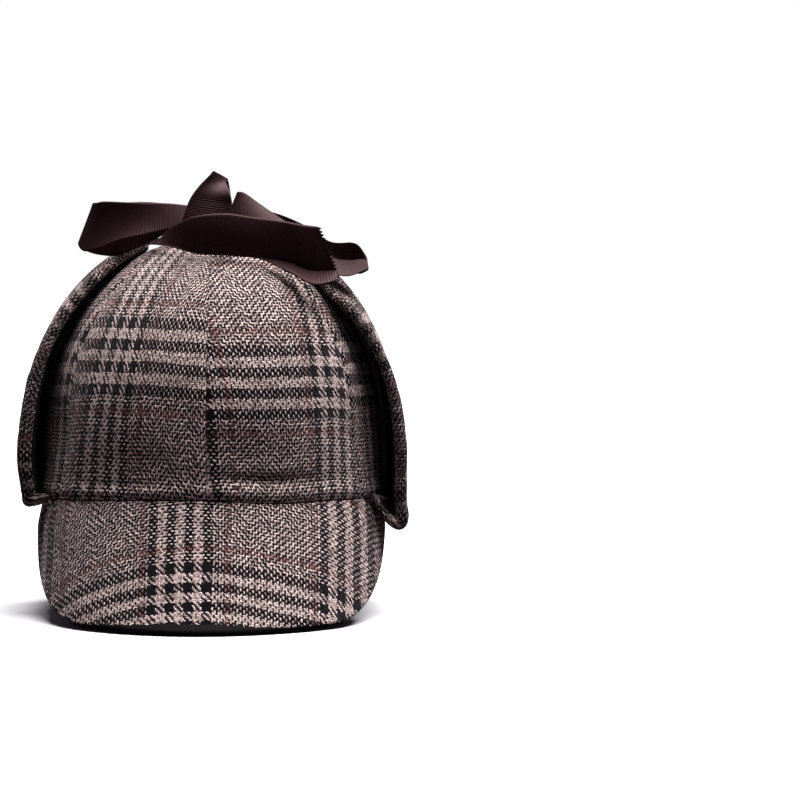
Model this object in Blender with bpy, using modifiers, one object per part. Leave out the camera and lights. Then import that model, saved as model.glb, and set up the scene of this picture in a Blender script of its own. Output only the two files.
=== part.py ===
"""A deerstalker hat at its real size: six crown panels, a front and a back peak, two turned-up
ear flaps, a covered button, and the ribbon that ties the flaps over the crown.

Metres, +Z up. The front faces -Y. The origin is on the surface that the hat rests on, under
the middle of the crown. Azimuths run from the front (-Y) towards +X.
"""

import math

import bmesh
import bpy
from mathutils import Vector

# The head opening and the crown.
RIM_HALF_WIDTH = 0.086
RIM_HALF_LENGTH = 0.105
RIM_HEIGHT = 0.061          # the crown's lower edge above the table, at the front
RIM_DIP = 0.0035            # how much lower that edge is at the sides
CROWN_HEIGHT = 0.127        # from the rim to the top
CROWN_FULLNESS = 2.9        # 2 is an ellipsoid, more has fuller shoulders
CROWN_WALL = 0.0022
CROWN_HOLE = 0.075          # the open part at the top, as a share of the rim's size
SIDE_SEAM_AT_RIM = math.radians(60)
SIDE_SEAM_AT_TOP = math.radians(48)
SEAM_DIP = 0.0008           # the panels turn in where they are sewn
SEAM_GAP = 0.0003           # half the gap between two panels
PANEL_COLUMNS = (-1.0, -0.94, -0.8, -0.4, 0.0, 0.4, 0.8, 0.94, 1.0)
PANEL_ROWS = 14

# Soft dents: the crown's sides where the tied flaps press, and the slack low front.
DENT_COLUMNS = ("azimuth", "height", "depth", "spread_around", "spread_up")
DENTS = (
    (math.radians(90), 0.100, 0.0030, math.radians(34), 0.022),
    (math.radians(-90), 0.100, 0.0030, math.radians(34), 0.022),
    (math.radians(14), 0.020, 0.0022, math.radians(12), 0.012),
    (math.radians(-22), 0.012, 0.0015, math.radians(10), 0.010),
)

# The peaks fall from the rim as one bent sheet. Its flat outline is half an ellipse.
PEAK_FALL = math.radians(60)
PEAK_REACH = 0.1250         # from the oval's middle to the edge, along the flat sheet
PEAK_END = math.radians(81)
PEAK_LAST = 0.985           # the last column, as a share of PEAK_END
PEAK_PUFF = 0.0022          # how far the sides bulge
PEAK_WALL = 0.0045
PEAK_COLUMNS = 30
PEAK_ROWS = 5
PIECE_GAP = 0.0004

# The ear flaps, from the rim to the tip. The length runs up the crown's side; stand_off is the
# gap to the crown at the flap's middle; wraps are how far its front and back edges bend in.
FLAP_COLUMNS = ("length", "stand_off", "half_width", "wrap_front", "wrap_back", "wall")
FLAPS = {
    "left": (
        (0.000, 0.0010, 0.051, 0.0028, 0.0000, 0.0076),
        (0.012, 0.0012, 0.0525, 0.0010, -0.0005, 0.0080),
        (0.024, 0.0012, 0.053, 0.0006, -0.0005, 0.0082),
        (0.048, 0.0012, 0.052, 0.0016, 0.0010, 0.0080),
        (0.068, 0.0012, 0.050, 0.0026, 0.0030, 0.0076),
        (0.086, 0.0012, 0.046, 0.0036, 0.0052, 0.0070),
        (0.104, 0.0012, 0.040, 0.0048, 0.0062, 0.0066),
        (0.122, 0.0012, 0.031, 0.0044, 0.0054, 0.0062),
        (0.135, 0.0012, 0.021, 0.0030, 0.0034, 0.0058),
        (0.141, 0.0012, 0.012, 0.0012, 0.0012, 0.0050),
    ),
    "right": (
        (0.000, 0.0020, 0.052, -0.0026, 0.0030, 0.0062),
        (0.024, 0.0020, 0.053, -0.0030, 0.0036, 0.0066),
        (0.048, 0.0020, 0.052, -0.0018, 0.0044, 0.0064),
        (0.066, 0.0018, 0.050, 0.0006, 0.0048, 0.0062),
        (0.078, 0.0016, 0.049, 0.0022, 0.0052, 0.0060),
        (0.092, 0.0014, 0.047, 0.0048, 0.0056, 0.0060),
        (0.106, 0.0014, 0.043, 0.0078, 0.0058, 0.0058),
        (0.117, 0.0014, 0.034, 0.0056, 0.0048, 0.0056),
        (0.126, 0.0012, 0.020, 0.0024, 0.0026, 0.0052),
    ),
}
FLAP_SIDE_SIGN = {"left": -1, "right": 1}
FLAP_FOLD_DROP = {"left": 0.0012, "right": 0.0112}  # how far the fold hangs below the rim
FLAP_ACROSS = 12
FLAP_STEPS = 13
FLAP_ROOT_REACH = 0.0885    # where the flap is sewn to the rim
FLAP_ROOT_WALL = 0.0022
FLAP_ROOT_HALF_WIDTH = 0.050
FLAP_ROOT_WRAP = 0.0102     # the root follows the rim's oval
FLAP_ROOT_RISE = 0.0040     # and rises with it towards the front and the back

BUTTON_RADIUS = 0.0095
BUTTON_HEIGHT = 0.0034
KNOT_PLACE = (0.0, -0.0150, 0.1982)
KNOT_HALF_SIZE = (0.0095, 0.0080, 0.0058)

# The ribbon. Each row gives its two edges; cup is how far its middle stands out between them.
RIBBON_WALL = 0.0010
RIBBON_STEPS = 3
RIBBON_COLUMNS = ("low_x", "low_y", "low_z", "high_x", "high_y", "high_z", "cup")
RIBBONS = {
    "ribbon_tail_front": (
        (-0.0325, -0.0105, 0.1838, -0.0320, -0.0030, 0.1862, 0.0),
        (-0.0300, -0.0220, 0.1838, -0.0285, -0.0160, 0.1866, 0.0),
        (-0.0262, -0.0330, 0.1834, -0.0250, -0.0290, 0.1868, 0.0),
        (-0.0205, -0.0410, 0.1826, -0.0200, -0.0375, 0.1912, 0.0),
        (-0.0140, -0.0468, 0.1808, -0.0140, -0.0450, 0.1942, 0.0),
        (-0.0050, -0.0510, 0.1785, -0.0055, -0.0512, 0.1970, 0.0010),
        (0.0090, -0.0520, 0.1780, 0.0080, -0.0532, 0.1980, 0.0015),
        (0.0240, -0.0505, 0.1765, 0.0210, -0.0522, 0.1963, 0.0015),
        (0.0380, -0.0495, 0.1725, 0.0350, -0.0512, 0.1945, 0.0010),
        (0.0500, -0.0510, 0.1675, 0.0460, -0.0520, 0.1925, 0.0010),
        (0.0645, -0.0520, 0.1685, 0.0545, -0.0525, 0.1915, 0.0),
    ),
    "ribbon_loop_left": (
        (-0.0112, -0.0245, 0.1937, -0.0112, -0.0190, 0.2030, 0.0),
        (-0.0210, -0.0275, 0.1914, -0.0220, -0.0200, 0.2040, 0.0),
        (-0.0330, -0.0290, 0.1896, -0.0330, -0.0200, 0.2040, 0.0010),
        (-0.0460, -0.0285, 0.1874, -0.0440, -0.0210, 0.2045, 0.0015),
        (-0.0560, -0.0270, 0.1832, -0.0535, -0.0220, 0.2048, 0.0015),
        (-0.0635, -0.0225, 0.1815, -0.0575, -0.0200, 0.2042, 0.0010),
        (-0.0665, -0.0170, 0.1845, -0.0590, -0.0155, 0.2045, 0.0),
        (-0.0620, -0.0120, 0.1855, -0.0540, -0.0115, 0.2045, 0.0),
        (-0.0460, -0.0110, 0.1890, -0.0420, -0.0095, 0.2050, 0.0),
        (-0.0300, -0.0100, 0.1925, -0.0300, -0.0085, 0.2050, 0.0),
        (-0.0112, -0.0120, 0.1940, -0.0112, -0.0100, 0.2030, 0.0),
    ),
    "ribbon_loop_top": (
        (-0.0150, -0.0310, 0.1925, 0.0060, -0.0320, 0.1895, 0.0010),
        (-0.0135, -0.0305, 0.1980, 0.0085, -0.0314, 0.1950, 0.0015),
        (-0.0105, -0.0293, 0.2060, 0.0103, -0.0301, 0.2030, 0.0020),
        (-0.0060, -0.0275, 0.2125, 0.0093, -0.0284, 0.2090, 0.0020),
        (-0.0010, -0.0250, 0.2178, 0.0072, -0.0165, 0.2145, 0.0010),
        (0.0006, -0.0208, 0.2200, 0.0076, -0.0065, 0.2165, 0.0),
        (0.0000, -0.0165, 0.2172, 0.0082, -0.0020, 0.2130, 0.0),
        (-0.0062, -0.0150, 0.2110, 0.0088, -0.0020, 0.2090, 0.0),
        (-0.0100, -0.0155, 0.2045, 0.0088, -0.0050, 0.2045, 0.0),
    ),
    "ribbon_loop_right": (
        (0.0065, -0.0350, 0.1940, 0.0130, -0.0300, 0.2095, 0.0),
        (0.0160, -0.0325, 0.1900, 0.0165, -0.0240, 0.2090, 0.0010),
        (0.0280, -0.0310, 0.1850, 0.0235, -0.0190, 0.2040, 0.0015),
        (0.0400, -0.0330, 0.1785, 0.0345, -0.0180, 0.1965, 0.0015),
        (0.0510, -0.0385, 0.1730, 0.0480, -0.0215, 0.1882, 0.0010),
        (0.0610, -0.0410, 0.1685, 0.0600, -0.0235, 0.1795, 0.0010),
        (0.0680, -0.0390, 0.1676, 0.0680, -0.0205, 0.1768, 0.0010),
        (0.0740, -0.0330, 0.1696, 0.0740, -0.0195, 0.1766, 0.0),
        (0.0776, -0.0255, 0.1712, 0.0772, -0.0170, 0.1764, 0.0),
        (0.0768, -0.0165, 0.1700, 0.0752, -0.0160, 0.1808, 0.0),
        (0.0715, -0.0060, 0.1695, 0.0708, -0.0140, 0.1846, 0.0),
        (0.0580, 0.0010, 0.1775, 0.0590, -0.0125, 0.1852, 0.0),
        (0.0460, 0.0050, 0.1858, 0.0460, -0.0100, 0.1935, 0.0),
        (0.0320, 0.0045, 0.1900, 0.0300, -0.0085, 0.2000, 0.0),
        (0.0125, -0.0020, 0.1945, 0.0120, -0.0100, 0.2030, 0.0),
    ),
    "ribbon_tie_right": (
        (0.0470, -0.0050, 0.1835, 0.0470, 0.0180, 0.1830, 0.0),
        (0.0340, -0.0045, 0.1870, 0.0340, 0.0165, 0.1870, 0.0),
        (0.0220, -0.0040, 0.1905, 0.0220, 0.0140, 0.1905, 0.0),
        (0.0105, -0.0040, 0.1935, 0.0105, 0.0080, 0.1935, 0.0),
    ),
    "ribbon_tail_back": (
        (-0.0085, -0.0062, 0.1985, 0.0045, -0.0062, 0.1985, 0.0),
        (-0.0120, 0.0060, 0.1955, 0.0070, 0.0080, 0.1955, 0.0),
        (-0.0170, 0.0240, 0.1890, 0.0070, 0.0280, 0.1895, 0.0),
        (-0.0210, 0.0420, 0.1815, 0.0030, 0.0460, 0.1825, 0.0),
        (-0.0240, 0.0590, 0.1715, 0.0000, 0.0630, 0.1735, 0.0),
        (-0.0260, 0.0720, 0.1605, -0.0030, 0.0740, 0.1650, 0.0),
    ),
}

CLOTH = (0.36, 0.27, 0.24)
RIBBON_BROWN = (0.045, 0.022, 0.020)


def row_value(rows, column, place):
    """Reads one column of a flap's table at a length along the flap."""
    at = FLAP_COLUMNS.index(column)
    if place <= rows[0][0]:
        return rows[0][at]
    for low, high in zip(rows, rows[1:]):
        if place <= high[0]:
            share = (place - low[0]) / (high[0] - low[0])
            return low[at] + (high[at] - low[at]) * share
    return rows[-1][at]


def smooth_rows(rows, steps):
    """The rows of a table with more rows between them, on a curve through all of them."""
    result = []
    for number in range(len(rows) - 1):
        before = rows[max(number - 1, 0)]
        low, high = rows[number], rows[number + 1]
        after = rows[min(number + 2, len(rows) - 1)]
        for step in range(steps):
            t = step / steps
            result.append(tuple(
                0.5 * (2 * b + (c - a) * t + (2 * a - 5 * b + 4 * c - d) * t * t
                       + (3 * b - a - 3 * c + d) * t ** 3)
                for a, b, c, d in zip(before, low, high, after)
            ))
    result.append(tuple(float(value) for value in rows[-1]))
    return result


def rim_drop(azimuth):
    return RIM_DIP * math.sin(azimuth) ** 2


def crown_point(azimuth, turn):
    """A point of the crown's outer face; turn is 0 at the rim and pi / 2 at the top."""
    spread = math.cos(turn)
    height = math.sin(turn) ** (2 / CROWN_FULLNESS)
    point = Vector((
        RIM_HALF_WIDTH * spread * math.sin(azimuth),
        -RIM_HALF_LENGTH * spread * math.cos(azimuth),
        RIM_HEIGHT + CROWN_HEIGHT * height - rim_drop(azimuth) * (1 - height),
    ))
    inward = Vector((-math.sin(azimuth) * spread, math.cos(azimuth) * spread, -height)).normalized()
    for row in DENTS:
        dent = dict(zip(DENT_COLUMNS, row))
        around = math.remainder(azimuth - dent["azimuth"], 2 * math.pi) / dent["spread_around"]
        up = (CROWN_HEIGHT * height - dent["height"]) / dent["spread_up"]
        point += inward * dent["depth"] * math.exp(-around ** 2 - up ** 2)
    return point


def new_object(name, grid):
    """An open sheet from a grid of points, row by row."""
    mesh = bpy.data.meshes.new(name)
    shape = bmesh.new()
    rows = [[shape.verts.new(point) for point in row] for row in grid]
    for low, high in zip(rows, rows[1:]):
        for a, b, c, d in zip(low, low[1:], high[1:], high):
            shape.faces.new((a, b, c, d))
    shape.to_mesh(mesh)
    shape.free()
    piece = bpy.data.objects.new(name, mesh)
    hat.objects.link(piece)
    return piece


def finish(piece, color, roughness):
    """Gives the piece its own material and smooth shading."""
    material = bpy.data.materials.new(piece.name)
    material.use_nodes = True
    shader = material.node_tree.nodes["Principled BSDF"]
    shader.inputs["Base Color"].default_value = (*color, 1)
    shader.inputs["Roughness"].default_value = roughness
    shader.inputs["Metallic"].default_value = 0
    piece.data.materials.append(material)
    piece.data.shade_smooth()
    piece.data.set_sharp_from_angle(angle=math.radians(50))


def thicken(piece, wall, offset):
    wall_modifier = piece.modifiers.new("wall", "SOLIDIFY")
    wall_modifier.thickness = wall
    wall_modifier.offset = offset
    wall_modifier.use_even_offset = True
    return wall_modifier


def crown_panel(name, seam_a, seam_b):
    """One gore between two seams; each seam is its azimuth at the rim and at the top."""
    grid = []
    last_turn = math.acos(CROWN_HOLE)
    for row in range(PANEL_ROWS + 1):
        turn = last_turn * (row / PANEL_ROWS) ** 1.35
        lean = row / PANEL_ROWS
        low = seam_a[0] + (seam_a[1] - seam_a[0]) * lean
        high = seam_b[0] + (seam_b[1] - seam_b[0]) * lean
        spread = math.cos(turn)
        margin = SEAM_GAP / (RIM_HALF_WIDTH * spread)
        low += margin
        high -= margin
        points = []
        for place in PANEL_COLUMNS:
            azimuth = low + (high - low) * (place + 1) / 2
            point = crown_point(azimuth, turn)
            dip = SEAM_DIP * max(0, abs(place) - 0.8) / 0.2 * min(1, spread * 3)
            outward = Vector((math.sin(azimuth) * spread, -math.cos(azimuth) * spread,
                              math.sin(turn))).normalized()
            points.append(point - outward * dip)
        grid.append(points)
    panel = new_object(name, grid)
    thicken(panel, CROWN_WALL, -1)
    finish(panel, CLOTH, 0.9)
    return panel


def peak_point(azimuth, run):
    """A point of a peak's outer face, run along the fall from the rim."""
    puff = PEAK_PUFF * math.sin(azimuth) ** 2 * min(1, run / 0.015)
    return Vector((
        (RIM_HALF_WIDTH + puff) * math.sin(azimuth),
        -RIM_HALF_LENGTH * math.cos(azimuth) - run * math.cos(PEAK_FALL),
        RIM_HEIGHT - rim_drop(azimuth) - PIECE_GAP - run * math.sin(PEAK_FALL),
    ))


def peak_length(azimuth):
    flat_edge = PEAK_REACH * math.sqrt(1 - (azimuth / PEAK_END) ** 2)
    return flat_edge - RIM_HALF_LENGTH * math.cos(azimuth) * math.cos(PEAK_FALL)


def peak(name, turn):
    """A stiff bent sheet, cut level where it rests on the table."""
    grid = []
    for row in range(PEAK_ROWS + 1):
        points = []
        for column in range(PEAK_COLUMNS + 1):
            swing = math.sin(math.pi / 2 * (2 * column / PEAK_COLUMNS - 1))
            azimuth = PEAK_END * PEAK_LAST * swing
            points.append(peak_point(azimuth, peak_length(azimuth) * row / PEAK_ROWS))
        grid.append(points)
    grid.reverse()
    piece = new_object(name, grid)
    thicken(piece, PEAK_WALL, -1)
    level = piece.modifiers.new("level", "BOOLEAN")
    level.operation = "DIFFERENCE"
    level.solver = "EXACT"
    level.object = table
    piece.rotation_euler.z = turn
    finish(piece, CLOTH, 0.9)
    return piece


def side_profile(length):
    """The crown's side, seen from the front: place and outward direction at a length."""
    if length <= 0:
        return Vector((RIM_HALF_WIDTH, length)), Vector((1, 0))
    steps = 400
    walked = 0
    before = Vector((RIM_HALF_WIDTH, 0))
    for step in range(1, steps + 1):
        turn = math.pi / 2 * (step / steps) ** 1.45
        here = Vector((RIM_HALF_WIDTH * math.cos(turn),
                       CROWN_HEIGHT * math.sin(turn) ** (2 / CROWN_FULLNESS)))
        walked += (here - before).length
        if walked >= length:
            along = (here - before).normalized()
            return here, Vector((along.y, -along.x))
        before = here
    return before, Vector((0, 1))


def ear_flap(side_name):
    """A padded flap: sewn at the rim, folded under, and laid up against the crown."""
    rows = FLAPS[side_name]
    side = FLAP_SIDE_SIGN[side_name]
    drop = FLAP_FOLD_DROP[side_name]
    base = dict(zip(FLAP_COLUMNS, rows[0]))
    base_reach = RIM_HALF_WIDTH + base["stand_off"] + base["wall"] / 2
    half_base = base["half_width"]
    fold_middle = (FLAP_ROOT_REACH + base_reach) / 2
    root_wrap = FLAP_ROOT_WRAP
    outside = Vector((1, 0))
    front, back = base["wrap_front"], base["wrap_back"]
    # reach, height, half width, front and back wrap, wall, outward direction
    path = [
        (FLAP_ROOT_REACH, -0.0006, FLAP_ROOT_HALF_WIDTH, root_wrap, root_wrap, FLAP_ROOT_WALL,
         outside),
        (FLAP_ROOT_REACH + 0.0010, -drop * 0.70, half_base, front + 0.0060, back + 0.0050,
         0.0028, outside),
        (fold_middle + 0.0018, -drop, half_base, front + 0.0014, back + 0.0014, 0.0040, outside),
        (base_reach + 0.0008, -drop * 0.62, half_base, front, back, 0.0060, outside),
    ]
    last = rows[-1][0]
    first = 0.003 - drop * 0.1
    for step in range(FLAP_STEPS + 1):
        length = first + (last - first) * (step / FLAP_STEPS) ** 0.92
        place, outward = side_profile(length)
        stand_off, half_width, wrap_front, wrap_back, wall = (
            row_value(rows, column, length) for column in FLAP_COLUMNS[1:]
        )
        middle = place + outward * (stand_off + wall / 2)
        path.append((*middle, half_width, wrap_front, wrap_back, wall, outward))
    grid = []
    walls = []
    for reach, height, half_width, wrap_front, wrap_back, wall, outward in path:
        rise = 0 if grid else FLAP_ROOT_RISE
        points = []
        for column in range(FLAP_ACROSS + 1):
            across = 2 * column / FLAP_ACROSS - 1
            wrap = wrap_front if across * side < 0 else wrap_back
            bend = wrap * across ** 2
            points.append(Vector((
                side * (reach - outward.x * bend),
                across * half_width * side,
                RIM_HEIGHT + height - outward.y * bend - RIM_DIP * max(0, 1 - height / 0.05)
                + rise * across ** 2,
            )))
            walls.append(wall * (1 - 0.35 * abs(across) ** 12))
        grid.append(points)
    piece = new_object(f"ear_flap_{side_name}", grid)
    thickest = max(walls)
    group = piece.vertex_groups.new(name="wall")
    for number, wall in enumerate(walls):
        group.add([number], wall / thickest, "REPLACE")
    modifier = thicken(piece, thickest, 0)
    modifier.vertex_group = group.name
    modifier.use_even_offset = False
    finish(piece, CLOTH, 0.92)
    return piece


def crown_button():
    """The covered button over the point where the panels meet."""
    bpy.ops.mesh.primitive_uv_sphere_add(segments=20, ring_count=10, radius=1)
    piece = bpy.context.object
    piece.name = "crown_button"
    for users in list(piece.users_collection):
        users.objects.unlink(piece)
    hat.objects.link(piece)
    for vertex in piece.data.vertices:
        vertex.co.x *= BUTTON_RADIUS
        vertex.co.y *= BUTTON_RADIUS
        vertex.co.z *= BUTTON_HEIGHT if vertex.co.z > 0 else BUTTON_HEIGHT * 0.15
    piece.location.z = RIM_HEIGHT + CROWN_HEIGHT + 0.0012
    finish(piece, CLOTH, 0.9)
    return piece


def ribbon_knot():
    """The ribbon's crossing, wound tight over the button."""
    bpy.ops.mesh.primitive_uv_sphere_add(segments=16, ring_count=10, radius=1)
    piece = bpy.context.object
    piece.name = "ribbon_knot"
    for owner in list(piece.users_collection):
        owner.objects.unlink(piece)
    hat.objects.link(piece)
    for vertex in piece.data.vertices:
        for axis in range(3):
            share = vertex.co[axis]
            vertex.co[axis] = math.copysign(abs(share) ** 0.7, share) * KNOT_HALF_SIZE[axis]
    piece.location = KNOT_PLACE
    finish(piece, RIBBON_BROWN, 0.6)
    return piece


def ribbon(name, rows):
    """A flat band along a smooth curve between its two edges."""
    edges = []
    for row in smooth_rows(rows, RIBBON_STEPS):
        values = dict(zip(RIBBON_COLUMNS, row))
        low = Vector((values["low_x"], values["low_y"], values["low_z"]))
        high = Vector((values["high_x"], values["high_y"], values["high_z"]))
        edges.append((low, high, values["cup"]))
    grid = []
    for number, (low, high, cup) in enumerate(edges):
        before = edges[max(number - 1, 0)]
        after = edges[min(number + 1, len(edges) - 1)]
        along = (after[0] + after[1]) - (before[0] + before[1])
        outward = along.cross(high - low).normalized()
        grid.append([
            low.lerp(high, share) + outward * cup * 4 * share * (1 - share)
            for share in (0, 0.33, 0.67, 1)
        ])
    piece = new_object(name, grid)
    thicken(piece, RIBBON_WALL, 0)
    finish(piece, RIBBON_BROWN, 0.6)
    return piece


for old in list(bpy.data.objects):
    bpy.data.objects.remove(old, do_unlink=True)
hat = bpy.data.collections.new("deerstalker_hat")
bpy.context.scene.collection.children.link(hat)
cutters = bpy.data.collections.new("cutters")
bpy.context.scene.collection.children.link(cutters)

bpy.ops.mesh.primitive_cube_add(size=1)
table = bpy.context.object
table.name = "table_cutter"
for owner in list(table.users_collection):
    owner.objects.unlink(table)
cutters.objects.link(table)
for corner in table.data.vertices:
    corner.co.x *= 0.5
    corner.co.y *= 0.5
    corner.co.z = corner.co.z * 0.04 - 0.02
table.hide_render = True
table.display_type = "WIRE"

front_seam = (0.0, 0.0)
back_seam = (math.pi, math.pi)
front_side = (SIDE_SEAM_AT_RIM, SIDE_SEAM_AT_TOP)
back_side = (math.pi - SIDE_SEAM_AT_RIM, math.pi - SIDE_SEAM_AT_TOP)


def mirrored(seam):
    return tuple(-azimuth for azimuth in seam)


crown_panel("crown_panel_front_right", front_seam, front_side)
crown_panel("crown_panel_side_right", front_side, back_side)
crown_panel("crown_panel_back_right", back_side, back_seam)
crown_panel("crown_panel_front_left", mirrored(front_side), front_seam)
crown_panel("crown_panel_side_left", mirrored(back_side), mirrored(front_side))
crown_panel("crown_panel_back_left", mirrored(back_seam), mirrored(back_side))
peak("front_peak", 0)
peak("back_peak", math.pi)
for flap_side in FLAPS:
    ear_flap(flap_side)
crown_button()
ribbon_knot()
for ribbon_name, ribbon_rows in RIBBONS.items():
    ribbon(ribbon_name, ribbon_rows)
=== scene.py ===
import math

import bpy
import numpy as np
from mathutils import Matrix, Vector, noise


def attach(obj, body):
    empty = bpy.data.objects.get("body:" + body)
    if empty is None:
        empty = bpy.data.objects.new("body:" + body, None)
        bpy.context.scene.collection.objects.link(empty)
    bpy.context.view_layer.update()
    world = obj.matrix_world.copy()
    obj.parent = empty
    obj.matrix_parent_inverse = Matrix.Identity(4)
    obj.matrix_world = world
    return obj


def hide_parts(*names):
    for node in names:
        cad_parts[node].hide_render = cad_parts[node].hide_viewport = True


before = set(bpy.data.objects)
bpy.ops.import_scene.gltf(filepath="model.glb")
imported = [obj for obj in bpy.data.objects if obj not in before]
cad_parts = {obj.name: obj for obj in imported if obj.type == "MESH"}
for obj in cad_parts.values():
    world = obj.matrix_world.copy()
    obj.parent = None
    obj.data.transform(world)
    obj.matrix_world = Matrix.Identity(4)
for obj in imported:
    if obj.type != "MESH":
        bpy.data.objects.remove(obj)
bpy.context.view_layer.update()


# Camera: 1.5 m in front of the hat, a little above its middle and a little to the right.
CAMERA_PLACE = (0.05235, -1.49909, 0.15)
CAMERA_DOWN = 1.711         # degrees
CAMERA_TURN = -1.61
CAMERA_LENS = 132.975
CAMERA_SENSOR = 36

camera_data = bpy.data.cameras.new("camera")
camera_data.lens = CAMERA_LENS
camera_data.sensor_width = CAMERA_SENSOR
camera = bpy.data.objects.new("camera", camera_data)
camera.location = CAMERA_PLACE
camera.rotation_euler = (math.radians(90 - CAMERA_DOWN), 0, math.radians(CAMERA_TURN))
bpy.context.scene.collection.objects.link(camera)
bpy.context.scene.camera = camera


# Floor: a wide level sheet of white studio paper that reaches to the horizon. It shows white,
# but throws little light back up at the hat.
FLOOR_HALF_WIDTH = 60.0
PAPER_WHITE = (0.90, 0.89, 0.91, 1)
PAPER_BOUNCE = (0.05, 0.042, 0.048, 1)


def two_looks(tree, for_light, for_camera):
    """A shader that the camera sees in one way and that lights the rest in another."""
    either = tree.nodes.new("ShaderNodeMixShader")
    ray = tree.nodes.new("ShaderNodeLightPath")
    tree.links.new(ray.outputs["Is Camera Ray"], either.inputs[0])
    tree.links.new(for_light.outputs[0], either.inputs[1])
    tree.links.new(for_camera.outputs[0], either.inputs[2])
    return either.outputs[0]


corners = [(x * FLOOR_HALF_WIDTH, y * FLOOR_HALF_WIDTH, 0.0)
           for x, y in ((-1, -1), (1, -1), (1, 1), (-1, 1))]
floor_mesh = bpy.data.meshes.new("studio_paper")
floor_mesh.from_pydata(corners, [], [(0, 1, 2, 3)])
floor = bpy.data.objects.new("studio_paper", floor_mesh)
bpy.context.scene.collection.objects.link(floor)
paper = bpy.data.materials.new("white_paper")
paper.use_nodes = True
paper_tree = paper.node_tree
paper_shader = paper_tree.nodes["Principled BSDF"]
paper_shader.inputs["Base Color"].default_value = PAPER_WHITE
paper_shader.inputs["Roughness"].default_value = 0.85
paper_shader.inputs["Specular IOR Level"].default_value = 0.2
bounce = paper_tree.nodes.new("ShaderNodeBsdfDiffuse")
bounce.inputs["Color"].default_value = PAPER_BOUNCE
paper_tree.links.new(two_looks(paper_tree, bounce, paper_shader),
                     paper_tree.nodes["Material Output"].inputs["Surface"])
floor_mesh.materials.append(paper)


# Light: one very wide soft light, nearly overhead, a little to the right and behind, in a dim
# room whose walls show white.
KEY_FROM = (0.20, 0.06, 0.97)
KEY_WIDTH = math.radians(52)
KEY_STRENGTH = 7.8
ROOM_LIGHT = (0.060, 0.051, 0.062, 1)
WALL_WHITE = (1, 1, 1, 1)

bpy.context.scene.view_settings.view_transform = "Standard"
world = bpy.data.worlds.new("white_room")
world.use_nodes = True
room = world.node_tree
dim = room.nodes["Background"]
dim.inputs["Color"].default_value = ROOM_LIGHT
seen = room.nodes.new("ShaderNodeBackground")
seen.inputs["Color"].default_value = WALL_WHITE
room.links.new(two_looks(room, dim, seen), room.nodes["World Output"].inputs["Surface"])
bpy.context.scene.world = world

key = bpy.data.lights.new("key_light", "SUN")
key.energy = KEY_STRENGTH
key.angle = KEY_WIDTH
key_light = bpy.data.objects.new("key_light", key)
key_light.rotation_euler = (-Vector(KEY_FROM)).to_track_quat("-Z", "Y").to_euler()
bpy.context.scene.collection.objects.link(key_light)


# Crown: six gores of wool tweed, sewn edge to edge into a round cap, with their seam
# allowances turned in. The two front gores are sewn along the centre of the face.
RIM_HALF_WIDTH = 0.086
RIM_HALF_LENGTH = 0.105
RIM_HEIGHT = 0.061
RIM_DIP = 0.0035            # how much lower the rim lies at the sides
SEAM_SAG = 0.0016           # the slack part of the rim hangs lower, round this azimuth
SAG_PLACE = math.radians(22)
SAG_SPREAD = math.radians(17)
CROWN_HEIGHT = 0.127
CROWN_FULLNESS = 2.9
CROWN_WALL = 0.0022
CROWN_EDGE_RADIUS = 0.0013
CROWN_RIM_TIGHTER = 1.1     # the edge at the rim is rounded that much more tightly
CROWN_HOLE = 0.075          # the gores end under the button at that share of the rim's size
SIDE_SEAM_AT_RIM = math.radians(60)
SIDE_SEAM_AT_TOP = math.radians(48)
SEAM_OVERLAP = 0.00015      # a gore reaches that far past its seam, so no light comes through
SEAM_DIP = 0.0007
SEAM_DIP_WIDTH = 0.0022
PUCKER_DEPTH = 0.00022
PUCKER_LENGTH = 0.0085
PUCKER_REACH = 0.006
HEM_ROLL = 0.0012           # the turned-in hem swells the rim, round this height
HEM_ROLL_PLACE = 0.0045
HEM_ROLL_WIDTH = 0.0034
WAVE_DEPTH = 0.0006         # slack in the cloth, in full from this height up
WAVE_START = 0.02
WAVE_SCALES = (26, 61)
GORE_ROWS = 96
GORE_COLUMNS = 56
ROW_CROWDING = 1.35         # the rows lie closer together near the rim

# Soft dents and creases: azimuth in degrees, height above the rim, depth, spreads.
DENTS = (
    (90, 0.100, 0.0010, 34, 0.022),
    (-90, 0.100, 0.0010, 34, 0.022),
    (14, 0.022, 0.0018, 12, 0.012),
    (-22, 0.016, 0.0014, 10, 0.010),
    (20, 0.0107, 0.0024, 17, 0.0028),
    (-27, 0.0070, 0.0010, 17, 0.0022),
    (-60, 0.032, 0.0036, 10, 0.020),
    (58, 0.030, 0.0022, 9, 0.020),
)

# The weave: a 2/2 twill of light and dark wool. Four bands of six dark yarns alternate with
# light ones, then dark and light yarns take turns one by one, and two red-brown yarns run on
# both sides of each group of bands.
REPEAT = 114
BANDED = 42
BAND_PAIR = 12              # a dark band and the light one beside it
GROUND_PAIR = 2
WARP_RED = (109.5, 52.5)
WEFT_RED = (105.5, 51.5)
RED_REACH = 1.8
RED_SHARE = 0.66
LIGHT_YARN = (0.62, 0.475, 0.45, 1)
DARK_YARN = (0.007, 0.0055, 0.008, 1)
RED_YARN = (0.12, 0.023, 0.023, 1)
PAINTED_RIM_SHADE_YARN = (0.20, 0.150, 0.145, 1)   # the light yarn darkened as painted shade, at the flaps' round edges and roots
TURN_SCALE = (0.11, 0.04, 0.0)          # where the twill turns back, as in a herringbone
TURN_LEVEL = 0.52
TONE_RUN = 0.2              # a yarn keeps its tone for five crossings
TONE_BY_YARN = 1.2
TONE_BY_FUZZ = 2.6
TONE_DROP = 0.84
TONE_LEAST = 0.15
GAP_SHADE = 0.42             # painted shade between the yarns, and the painted light a yarn's crest adds to it
CREST_LIGHT = 0.62
FUZZ_SCALE = 0.9
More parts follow.
